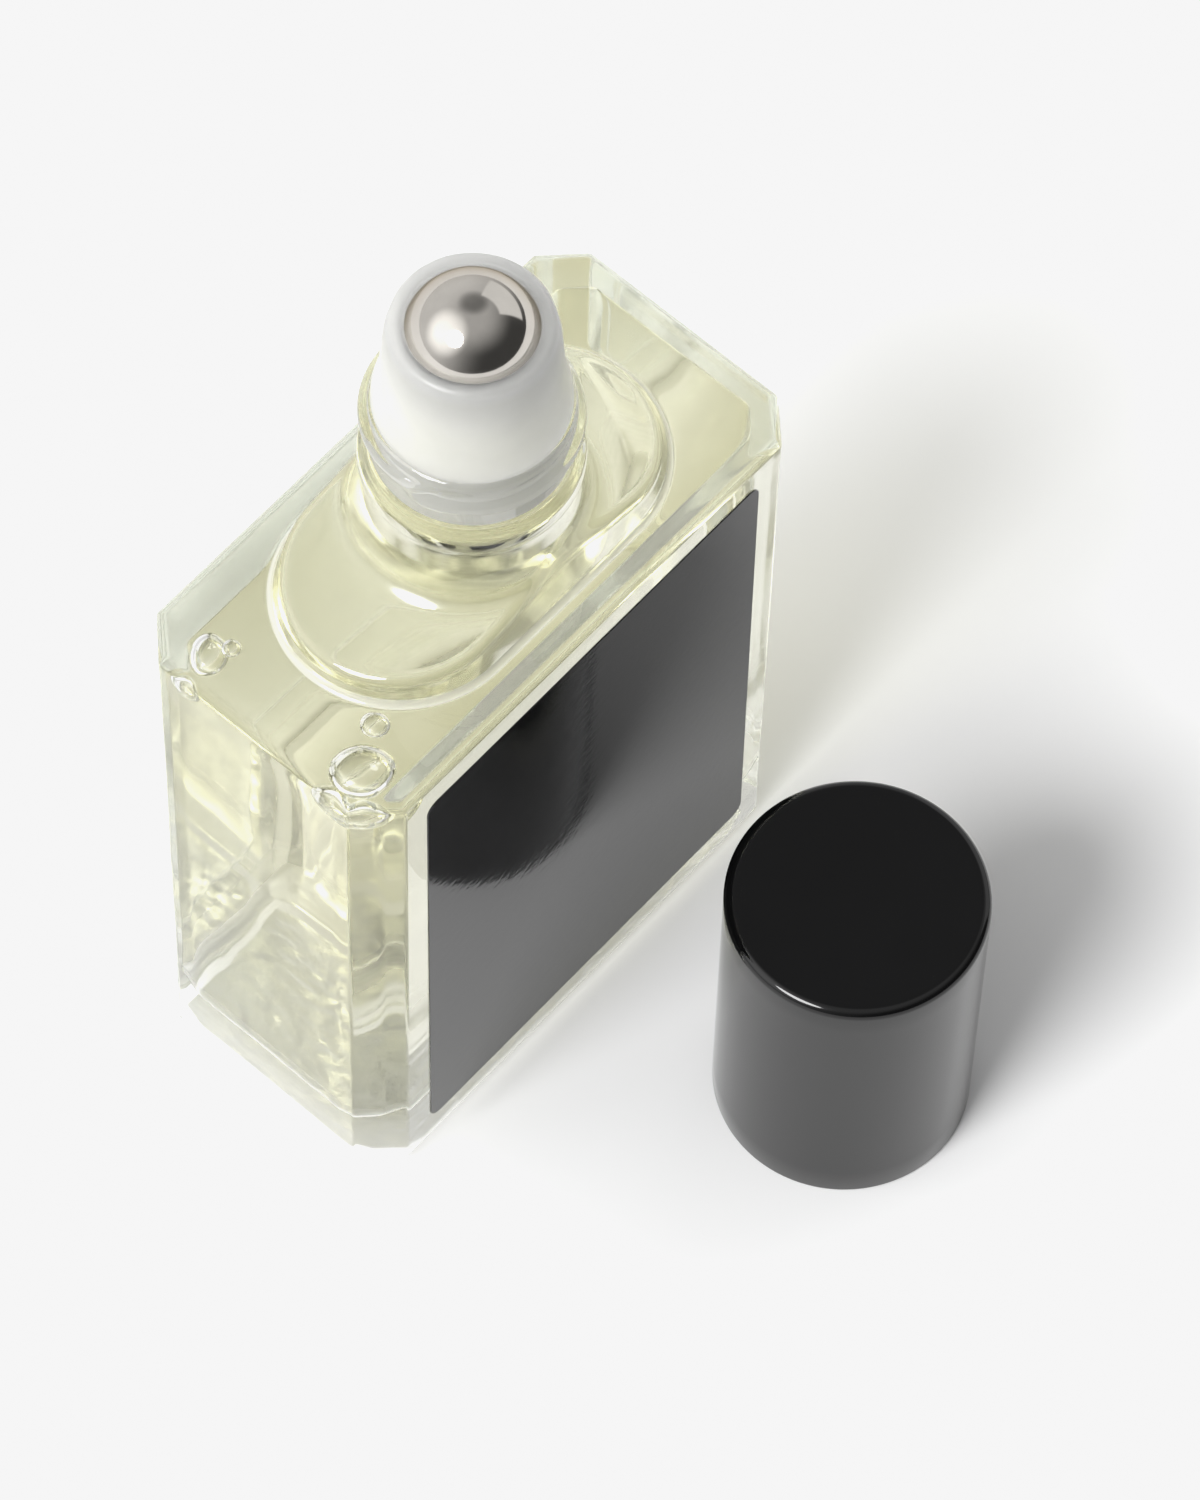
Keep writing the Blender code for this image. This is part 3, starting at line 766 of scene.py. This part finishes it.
def paint_gathered_light(material, clear):
    """Painted light: the underside lets more lamp light through than reaches it, standing in for the light
    that the base gathers as a lens does, most of it under the end nearer the key.
    """
    along = along_axis(material, "X", -BODY_LENGTH / 2, BODY_LENGTH / 2)
    # Painted light: tints above 1 on the underside brighten the floor seen under the bottle
    painted_lens_light = color_bands(material, along, (
        (0.0, (1.46, 1.46, 1.46)),
        (0.36, (1.19, 1.19, 1.19)),
        (0.60, (1.13, 1.13, 1.13)),
        (0.80, (1.27, 1.27, 1.33)),
        (1.0, (1.22, 1.22, 1.27)),
    ))
    tint = mixed_color(material, "MIX", face_mark(material, "underside"), LET_THROUGH, painted_lens_light)
    material.node_tree.links.new(tint, clear.inputs["Color"])


def glass_material():
    """Faintly green glass. Faces that the oil wets bend light less, and the underside is mottled."""
    material = new_material("clear_glass")
    shader(material)["Base Color"].default_value = WHITE
    # Where marked, the glass is partly dull white: a painted highlight along the shoulder's foot, and a
    # little at the heel
    by_mark(material, "Transmission Weight", "painted_line_and_dull_heel", plain=1.0, marked=0.4)
    by_mark(material, "IOR", "wetted", plain=1.52, marked=1.04)
    by_mark(material, "Roughness", "pebbled", plain=0.0, marked=0.3)
    tint_inside(material, color=(0.73, 0.78, 0.60), density=10.0)
    pebbles = object_noise(material, scale=450.0, detail=1.0)
    mottled = bump(material, pebbles, strength=0.0, distance=0.3 * MM)
    material.node_tree.links.new(face_mark(material, "underside"), mottled.inputs["Strength"])
    paint_gathered_light(material, let_light_through(material))
    return material


def oil_material():
    """Pale oil. Only its free surface and its bubbles bend light, since glass wets the rest."""
    material = new_material("perfume_oil")
    shader(material)["Base Color"].default_value = WHITE
    shader(material)["Roughness"].default_value = 0.0
    shader(material)["Transmission Weight"].default_value = 1.0
    by_mark(material, "IOR", "free_surface", plain=1.0, marked=1.46)
    tint_inside(material, color=(0.62, 0.575, 0.05), density=11.0)
    let_light_through(material)
    return material


def cloudy(material, socket, low, high, scale):
    """Lets a colour or a number of the shader drift between two values over the surface."""
    stops = ((DRIFT_START, low), (DRIFT_END, high))
    drift = color_bands(material, object_noise(material, scale), stops)
    material.node_tree.links.new(drift, shader(material)[socket])


def surface_material(name, color, drift, roughness, scale):
    """A dull or glossy surface whose colour and roughness drift a little."""
    material = new_material(name)
    low = [channel * (1 - drift) for channel in color]
    high = [channel * (1 + drift) for channel in color]
    cloudy(material, "Base Color", low, high, scale)
    smooth = [roughness * (1 - ROUGHNESS_DRIFT)] * 3
    rough = [roughness * (1 + ROUGHNESS_DRIFT)] * 3
    cloudy(material, "Roughness", smooth, rough, scale * ROUGHNESS_GRAIN)
    return material


def label_material():
    material = surface_material(
        "gloss_black_label", color=(0.006, 0.006, 0.0065), drift=0.1, roughness=0.06, scale=300.0
    )
    shader(material)["IOR"].default_value = 1.6
    bump(material, object_noise(material, scale=1600.0), strength=0.16, distance=0.03 * MM)
    return material


def steel_material():
    material = surface_material(
        "polished_steel", color=(0.63, 0.60, 0.555), drift=0.03, roughness=0.075, scale=900.0
    )
    shader(material)["Metallic"].default_value = 1.0
    shader(material)["Specular Tint"].default_value = (0.55, 0.50, 0.43, 1.0)
    return material


def milky_material():
    """Milky plastic: brighter down in the neck, partly because oil wets it and partly as painted light
    lifting its shade there, and with a little painted shade under the lip.
    """
    material = surface_material(
        "milky_plastic", color=(0.80, 0.80, 0.71), drift=0.02, roughness=0.36, scale=400.0
    )
    sockets = shader(material)
    up = along_axis(material, "Z", 60 * MM, 80 * MM)
    # Painted light and shade by height: lighter low in the neck, and a darker band under the lip for the
    # shadow of the ball's cage
    shade = color_bands(material, up, (
        (0.38, (1.39, 1.37, 1.17)),
        (0.42, (0.98, 0.98, 0.96)),
        (0.70, (0.99, 0.99, 0.97)),
        (0.80, (0.96, 0.96, 0.93)),
        (0.84, (1.0, 1.0, 1.0)),
    ))
    drift = sockets["Base Color"].links[0].from_socket
    color = mixed_color(material, "MULTIPLY", 1.0, drift, shade)
    material.node_tree.links.new(color, sockets["Base Color"])
    sockets["Subsurface Weight"].default_value = 1.0
    sockets["Subsurface Radius"].default_value = (1.0, 1.0, 1.0)
    sockets["Subsurface Scale"].default_value = 10.0 * MM
    sockets["Transmission Weight"].default_value = 0.1
    return material


# Pieces


def fading(ring, end, steps):
    """1 on rings well before an end, 0 from the end on, and even steps between."""
    return min(1.0, max(0.0, (end - ring) / steps))


def make_glass():
    outside = base_rings() + wall_rings() + shoulder_rings() + neck_rings()
    inside = bore_rings() + cavity_rings(0.0)
    rings = outside + inside

    heel = len(base_rings()) + 1
    wall = heel + HEEL_STEPS
    foot = len(base_rings() + wall_rings()) + len(SHELF_SHARES)
    rise = foot + FOOT_STEPS + 1
    crest = rise + RISE_STEPS - 1
    neck = len(base_rings() + wall_rings() + shoulder_rings())
    bore = len(outside) + len(RIM_SHARES) + LEAD_STEPS
    floor = len(rings) - len(FLOOR_SHARES) - FLOOR_STEPS - 1

    def pebbled(index):
        """Rough from the mould below and on the cavity's floor, and soft in some other places."""
        if index < wall + ROUGH_HEEL_RINGS[0]:
            return fading(index - wall, *ROUGH_HEEL_RINGS)
        if index >= floor:
            return 1.0
        if rise <= index < crest + SOFT_CREST_RINGS or index >= bore:
            return INSIDE_SOFT_SHARE
        if neck - SOFT_BEFORE_NECK_RINGS <= index < neck + SOFT_NECK_RINGS:
            return NECK_FOOT_SOFT_SHARE
        return LOW_WALL_SOFT_SHARE * fading(index - wall, *SOFT_WALL_RINGS)

    def painted_line_and_dull_heel(index):
        """The foot of the raised shoulder is made partly dull white, a painted highlight that shows as a
        white line, and the heel is made a little dull white.
        """
        if foot + CLEAR_FOOT_RINGS <= index < rise:
            return FOOT_WHITE_LINE_SHARE
        return HEEL_DULL_WHITE_SHARE * fading(index - wall, *DULL_WHITE_HEEL_RINGS) if index > heel else 0.0

    glass = mesh_object("glass_body", *skin(rings))
    mark_faces(glass, "wetted", on_faces(rings, lambda index: index >= bore))
    mark_faces(glass, "pebbled", on_faces(rings, pebbled))
    mark_faces(glass, "painted_line_and_dull_heel", on_faces(rings, painted_line_and_dull_heel))
    mark_faces(glass, "underside", on_faces(rings, lambda index: index < heel))
    glass.data.materials.append(glass_material())
    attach(glass, "bottle")
    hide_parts("glass_bottle")
    return glass


def round_distance(x, y, radius):
    """Signed distance of a point from a corner of a room, rounded by a radius."""
    x += radius
    y += radius
    return math.hypot(max(x, 0), max(y, 0)) + min(max(x, y), 0) - radius


def room_outside(point):
    """Signed distance from the wall of the cavity, below zero inside it."""
    beyond_end = abs(point.x) - BODY_LENGTH / 2 + END_WALL
    beyond_side = abs(point.y) - BODY_DEPTH / 2 + SIDE_WALL
    beyond_wall = round_distance(beyond_end, beyond_side, BUBBLE_CORNER_RADIUS)
    return round_distance(beyond_wall, point.z - CEILING_Z, CAVITY_TOP_RADIUS)


def wall_reach(centre, ray, limit):
    """How far a ray runs from the centre of a bubble before it meets the cavity's wall, up to a limit."""
    near = 0.0
    far = limit
    if room_outside(centre + ray * far) <= -BUBBLE_SKIN:
        return far
    for _ in range(WALL_HALVINGS):
        middle = (near + far) / 2
        if room_outside(centre + ray * middle) > -BUBBLE_SKIN:
            far = middle
        else:
            near = middle
    return far


def bubble(centre, radius):
    """An air bubble that flattens softly where it meets the wall. Its faces look into the air."""
    rings = []
    for tilt in steps_between(0, math.pi, BUBBLE_ROWS):
        ring = []
        span = radius / math.hypot(math.sin(tilt), math.cos(tilt) / BUBBLE_FLATNESS)
        for turn in FULL_TURN * np.arange(BUBBLE_SEGMENTS) / BUBBLE_SEGMENTS:
            ray = Vector((math.sin(tilt) * math.cos(turn), math.sin(tilt) * math.sin(turn), -math.cos(tilt)))
            reach = wall_reach(centre, ray, BUBBLE_REACH * radius)
            both = span ** -BUBBLE_SOFTNESS + reach ** -BUBBLE_SOFTNESS
            ring.append(centre + ray * both ** (-1 / BUBBLE_SOFTNESS))
        rings.append(np.array(ring))
    points, faces = skin(rings)
    return points, [face[:1] + face[:0:-1] for face in faces]


def make_oil():
    radius = BORE_RADIUS - OIL_GAP
    flare_z = CEILING_Z + BORE_FLARE_HEIGHT
    rings = cavity_rings(OIL_GAP)[::-1]
    rings += [circle(radius, z) for z in np.linspace(flare_z, OIL_LEVEL_Z, WET_BORE_STEPS + 1)]
    covered = len(rings)
    for share in OIL_SURFACE_SHARES:
        rings.append(circle(radius * share, OIL_LEVEL_Z - MENISCUS_DEPTH * (1 - share ** MENISCUS_POWER)))
    points, faces = skin(rings)
    free = on_faces(rings, lambda index: index >= covered)
    for place, size in BUBBLES:
        more_points, more_faces = bubble(Vector(place), size)
        faces += [[index + len(points) for index in face] for face in more_faces]
        points = np.concatenate((points, more_points))
        free += [True] * len(more_faces)
    oil = mesh_object("oil_fill", points, faces)
    mark_faces(oil, "free_surface", free)
    oil.data.materials.append(oil_material())
    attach(oil, "bottle")
    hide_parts("perfume_oil")
    return oil


def make_ball():
    low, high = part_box("roller_ball")
    centre = (low + high) / 2
    radius = (high.z - low.z) / 2
    angles = steps_between(math.pi, 0, BALL_ROWS)
    profile = [(radius * math.sin(a), centre.z + radius * math.cos(a)) for a in angles]
    ball = turned("ball", profile, BALL_SEGMENTS, closed=False)
    ball.data.materials.append(steel_material())
    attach(ball, "ball")
    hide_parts("roller_ball")
    return ball


def housing_profile(plug_z, lip_z, ball_z, ball_radius):
    """Up the ribbed plug and the side, over the lip, down the cage to its floor and through it."""
    cage = ball_radius + BALL_GAP
    lip_inner = math.sqrt(cage ** 2 - GRIP_RISE ** 2)
    flange_z = RIM_Z + FLANGE_GAP
    profile = [(PLUG_INNER_RADIUS, plug_z), (PLUG_RADIUS - PLUG_LEAD, plug_z)]
    profile += [(PLUG_RADIUS, plug_z + PLUG_LEAD_HEIGHT)]
    for foot_z in RIB_FEET_Z:
        for a in np.linspace(0, math.pi, RIB_STEPS + 1):
            profile.append((PLUG_RADIUS + RIB_RISE * math.sin(a), foot_z + RIB_WIDTH * a / math.pi))
    profile += [(PLUG_RADIUS, flange_z)]
    profile += [(radius, flange_z + height) for radius, height in SIDE_RADII_AND_HEIGHTS]
    profile += [(radius, lip_z - drop) for radius, drop in TOP_RADII_AND_DROPS]
    for a in quarter(LIP_STEPS):
        down = LIP_ROUND_DOWN * (1 - math.sin(a))
        profile.append((LIP_CREST_RADIUS + LIP_ROUND_ACROSS * math.cos(a), lip_z - down))
    for a in quarter(LIP_INNER_STEPS):
        down = (lip_z - ball_z - GRIP_RISE) * (1 - math.cos(a))
        profile.append((lip_inner + LIP_INNER_ROUND * (1 - math.sin(a)), lip_z - down))
    grip = math.asin(GRIP_RISE / cage)
    feed_angle = -math.acos(FEED_RADIUS / cage)
    for a in steps_after(grip, feed_angle, CAGE_STEPS):
        profile.append((cage * math.cos(a), ball_z + cage * math.sin(a)))
    ceiling = ball_z - math.sqrt(cage ** 2 - FEED_RADIUS ** 2) - CAGE_FLOOR
    return profile + [(FEED_RADIUS, ceiling), (PLUG_INNER_RADIUS, ceiling)]


def make_housing():
    low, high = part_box("roller_housing")
    ball_low, ball_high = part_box("roller_ball")
    ball_z = (ball_low.z + ball_high.z) / 2
    ball_radius = (ball_high.z - ball_low.z) / 2
    profile = housing_profile(low.z, high.z, ball_z, ball_radius)
    housing = turned("roller_fitment", profile, FITMENT_SEGMENTS, closed=True)
    housing.data.set_sharp_from_angle(angle=SHARP_ANGLE)
    housing.data.materials.append(milky_material())
    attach(housing, "bottle")
    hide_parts("roller_housing")
    return housing


def label_outline():
    """The film's rounded outline, as it sits a little crooked, in its own plane."""
    points = []
    radius = LABEL_CORNER_RADIUS
    for index, (side, up) in enumerate(((1, 1), (-1, 1), (-1, -1), (1, -1))):
        for a in QUARTER * (index + np.linspace(0, 1, LABEL_CORNER_STEPS + 1)):
            x = side * (LABEL_WIDTH / 2 - radius) + radius * math.cos(a)
            z = up * (LABEL_HEIGHT / 2 - radius) + radius * math.sin(a)
            points.append((x, z))
    cos = math.cos(LABEL_TILT)
    sin = math.sin(LABEL_TILT)
    return np.array(points) @ np.array(((cos, sin), (-sin, cos)))


def make_label():
    low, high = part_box("front_label")
    centre = (low + high) / 2
    back_y = BODY_LOW.y + LABEL_SUNK
    front_y = BODY_LOW.y - LABEL_PROUD
    outline = label_outline()
    levels = [(back_y, 1.0), (front_y + LABEL_EDGE, 1.0)]
    levels += [(front_y, share) for share in LABEL_EDGE_SHARES]
    rings = []
    for y, share in levels:
        flat = outline * share
        rings.append(np.column_stack((centre.x + flat[:, 0], np.full(len(flat), y), centre.z + flat[:, 1])))
    label = mesh_object("label_film", *skin(rings))
    label.data.set_sharp_from_angle(angle=SHARP_ANGLE)
    white_back = surface_material(
        "white_label_film", color=(0.80, 0.80, 0.79), drift=0.03, roughness=0.5, scale=300.0
    )
    label.data.materials.append(label_material())
    label.data.materials.append(white_back)
    back_faces = on_faces(rings, lambda index: 1 if index == 0 else 0)
    label.data.polygons.foreach_set("material_index", back_faces)
    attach(label, "bottle")
    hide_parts("front_label")
    return label


def cap_profile(outer, height):
    """From the top of the bore down to the rounded mouth, then up the side and over the top."""
    mouth = CAP_MOUTH_RADIUS
    edge = CAP_EDGE_RADIUS
    bore = outer - CAP_WALL
    profile = [(bore, height - CAP_TOP)]
    for a in quarter(CAP_MOUTH_STEPS):
        profile.append((bore + mouth * (1 - math.cos(a)), mouth * (1 - math.sin(a))))
    for a in quarter(CAP_MOUTH_STEPS):
        profile.append((outer - mouth * (1 - math.sin(a)), mouth * (1 - math.cos(a))))
    profile += [(outer, height * share) for share in CAP_SIDE_SHARES]
    for a in quarter(CAP_EDGE_STEPS):
        profile.append((outer - edge * (1 - math.cos(a)), height - edge * (1 - math.sin(a))))
    profile += [((outer - edge) * share, height - CAP_DISH * (1 - share)) for share in CAP_TOP_SHARES]
    return profile


def make_cap():
    low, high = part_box("cap_shell")
    centre = (low + high) / 2
    profile = cap_profile((high.x - low.x) / 2, high.z - low.z)
    shell = turned("cap_gloss_shell", profile, CAP_SEGMENTS, closed=False)
    shell.data.set_sharp_from_angle(angle=SHARP_ANGLE)
    shell.location = (centre.x, centre.y, 0)
    gloss = surface_material(
        "gloss_black_cap", color=(0.003, 0.003, 0.0032), drift=0.1, roughness=0.06, scale=200.0
    )
    shell.data.materials.append(gloss)
    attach(shell, "cap")
    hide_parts("cap_shell")
    return shell


def dress_liner():
    """The cap's liner keeps the model's own shape."""
    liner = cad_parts["cap_liner"]
    material = surface_material(
        "liner_plastic", color=(0.03, 0.03, 0.03), drift=0.1, roughness=0.4, scale=300.0
    )
    liner.data.materials.clear()
    liner.data.materials.append(material)


# Studio


def make_floor():
    reach = FLOOR_REACH
    corners = [(-reach, -reach, 0), (reach, -reach, 0), (reach, reach, 0), (-reach, reach, 0)]
    floor = mesh_object("floor", corners, [(0, 1, 2, 3)])
    material = surface_material(
        "pale_paper", color=(0.93, 0.93, 0.93), drift=0.003, roughness=0.6, scale=20.0
    )
    shader(material)["Specular IOR Level"].default_value = 0.2
    floor.data.materials.append(material)
    return floor


def unit_vector(azimuth_deg, elevation_deg):
    a = math.radians(azimuth_deg)
    e = math.radians(elevation_deg)
    return Vector((math.cos(a) * math.cos(e), math.sin(a) * math.cos(e), math.sin(e)))


def make_key():
    """A soft key light, far enough away to light the whole floor evenly."""
    light = bpy.data.lights.new("key", "SUN")
    light.angle = KEY_SPREAD
    light.energy = KEY_STRENGTH
    lamp = bpy.data.objects.new("key", light)
    bpy.context.collection.objects.link(lamp)
    lamp.rotation_euler = unit_vector(*KEY_DIRECTION).to_track_quat("Z", "Y").to_euler()
    return lamp


def make_world():
    """A white panel to the right, pale walls behind, a dark side in front and a glow up to the left."""
    world = bpy.data.worlds.new("studio")
    bpy.context.scene.world = world
    world.use_nodes = True
    nodes = world.node_tree.nodes
    links = world.node_tree.links
    place = nodes.new("ShaderNodeTexCoord").outputs["Generated"]

    def math_node(operation, *values):
        node = nodes.new("ShaderNodeMath")
        node.operation = operation
        for socket, value in zip(node.inputs, values):
            feed(links, socket, value)
        return node.outputs[0]

    def ramp(value, start, end, low=0.0, high=1.0):
        node = nodes.new("ShaderNodeMapRange")
        node.interpolation_type = "SMOOTHSTEP"
        links.new(value, node.inputs["Value"])
        for socket, number in zip(("From Min", "From Max", "To Min", "To Max"), (start, end, low, high)):
            node.inputs[socket].default_value = number
        return node.outputs["Result"]

    def toward(azimuth_deg, elevation_deg):
        """1 straight toward a direction, 0 at right angles to it and -1 away from it."""
        node = nodes.new("ShaderNodeVectorMath")
        node.operation = "DOT_PRODUCT"
        links.new(place, node.inputs[0])
        node.inputs[1].default_value = unit_vector(azimuth_deg, elevation_deg)
        return node.outputs["Value"]

    def blended(first, second, share):
        rest = math_node("MULTIPLY", first, math_node("SUBTRACT", 1.0, share))
        return math_node("ADD", rest, math_node("MULTIPLY", share, second))

    def window(value, rising, falling):
        """1 between two edges and 0 outside them."""
        return math_node("MULTIPLY", ramp(value, *rising), ramp(value, *falling, low=1.0, high=0.0))

    parts = nodes.new("ShaderNodeSeparateXYZ")
    links.new(place, parts.inputs[0])
    azimuth = math_node("DEGREES", math_node("ARCTAN2", parts.outputs["Y"], parts.outputs["X"]))
    elevation = math_node("DEGREES", math_node("ARCSINE", parts.outputs["Z"]))
    walls = ramp(toward(*WALLS_DIRECTION), -WALLS_REACH, WALLS_REACH, WALLS_DARK, WALLS_PALE)
    ceiling = ramp(elevation, CEILING_START_DEG, CEILING_FULL_DEG)
    shade = ramp(toward(*SHADE_DIRECTION), SHADE_START, SHADE_FULL, 0.0, SHADE_DEPTH)
    across = window(azimuth, PANEL_LEFT_DEG, PANEL_RIGHT_DEG)
    panel = math_node("MULTIPLY", across, window(elevation, PANEL_FOOT_DEG, PANEL_TOP_DEG))
    glow = ramp(toward(*GLOW_DIRECTION), GLOW_START, 1.0)
    light = math_node("SUBTRACT", blended(walls, CEILING_LIGHT, ceiling), shade)
    light = math_node("ADD", blended(light, PANEL_LIGHT, panel), glow)
    links.new(light, nodes["Background"].inputs["Strength"])
    nodes["Background"].inputs["Color"].default_value = WHITE


def make_camera():
    """The photograph's view: its fitted angles, distance and aim."""
    ahead = math.cos(CAMERA_ELEVATION)
    forward = Vector((
        math.sin(CAMERA_AZIMUTH) * ahead,
        math.cos(CAMERA_AZIMUTH) * ahead,
        -math.sin(CAMERA_ELEVATION),
    ))
    level = Vector((math.cos(CAMERA_AZIMUTH), -math.sin(CAMERA_AZIMUTH), 0))
    rise = level.cross(forward)
    right = level * math.cos(CAMERA_ROLL) + rise * math.sin(CAMERA_ROLL)
    up = rise * math.cos(CAMERA_ROLL) - level * math.sin(CAMERA_ROLL)
    aim = CAMERA_AIM + level * CAMERA_AIM_RIGHT + rise * CAMERA_AIM_UP
    data = bpy.data.cameras.new("camera")
    data.sensor_width = SENSOR_WIDTH_MM
    data.lens = FOCAL_PIXELS / PHOTO_HEIGHT_PIXELS * data.sensor_width
    data.clip_start = CLIP_START
    data.dof.use_dof = False
    camera = bpy.data.objects.new("camera", data)
    bpy.context.collection.objects.link(camera)
    turn = Matrix((right, up, -forward)).transposed()
    camera.matrix_world = Matrix.Translation(aim - forward * CAMERA_DISTANCE) @ turn.to_4x4()
    bpy.context.scene.camera = camera


def set_view():
    """A plain view whose white is a little down, as the photograph's, and enough bounces for the glass."""
    view = bpy.context.scene.view_settings
    view.view_transform = "Standard"
    view.use_curve_mapping = True
    curve = view.curve_mapping.curves[COMBINED_CURVE]
    curve.points[1].location = (1.0, WHITE_LEVEL)
    view.curve_mapping.extend = "HORIZONTAL"
    view.curve_mapping.update()
    cycles = bpy.context.scene.cycles
    cycles.max_bounces = BOUNCES
    cycles.transmission_bounces = BOUNCES
    cycles.glossy_bounces = BOUNCES
    cycles.transparent_max_bounces = CLEAR_BOUNCES
    cycles.caustics_reflective = False
    cycles.caustics_refractive = False


make_camera()
make_world()
make_floor()
make_key()
make_glass()
make_oil()
make_ball()
make_housing()
make_label()
make_cap()
dress_liner()
set_view()
